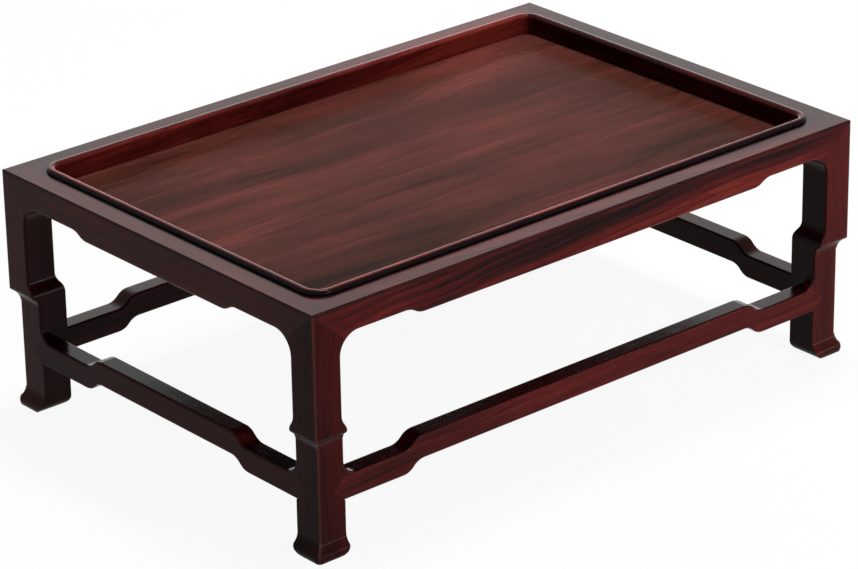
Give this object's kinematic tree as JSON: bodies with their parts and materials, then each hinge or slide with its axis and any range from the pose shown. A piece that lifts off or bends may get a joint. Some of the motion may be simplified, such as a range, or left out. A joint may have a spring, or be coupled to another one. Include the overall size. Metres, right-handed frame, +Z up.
{
  "type": "bonsai stand",
  "caption": "Low rectangular hardwood stand with a recessed tray top, shaped aprons, stepped legs on flared feet and humped stretchers, for a potted tree.",
  "frame": {"origin": "on the floor under the middle of the stand", "axes": "+X along the long side, +Y along the short side towards the back, +Z up"},
  "size_m": [0.3, 0.205, 0.111],
  "materials": {
    "rail_wood": "satin lacquer on dark rosewood",
    "stretcher_wood": "satin lacquer on dark rosewood",
    "leg_wood": "satin lacquer on dark rosewood",
    "panel_wood": "satin lacquer on dark rosewood",
    "batten_wood": "satin lacquer on dark rosewood"
  },
  "bodies": {
    "root": {"rail_front": "rail_wood", "rail_right": "rail_wood", "rail_back": "rail_wood", "rail_left": "rail_wood", "stretcher_front": "stretcher_wood", "stretcher_right": "stretcher_wood", "stretcher_back": "stretcher_wood", "stretcher_left": "stretcher_wood", "leg_front_left": "leg_wood", "leg_front_right": "leg_wood", "leg_back_right": "leg_wood", "leg_back_left": "leg_wood", "batten_left": "batten_wood", "batten_right": "batten_wood", "panel": "panel_wood"}
  },
  "joints": []
}
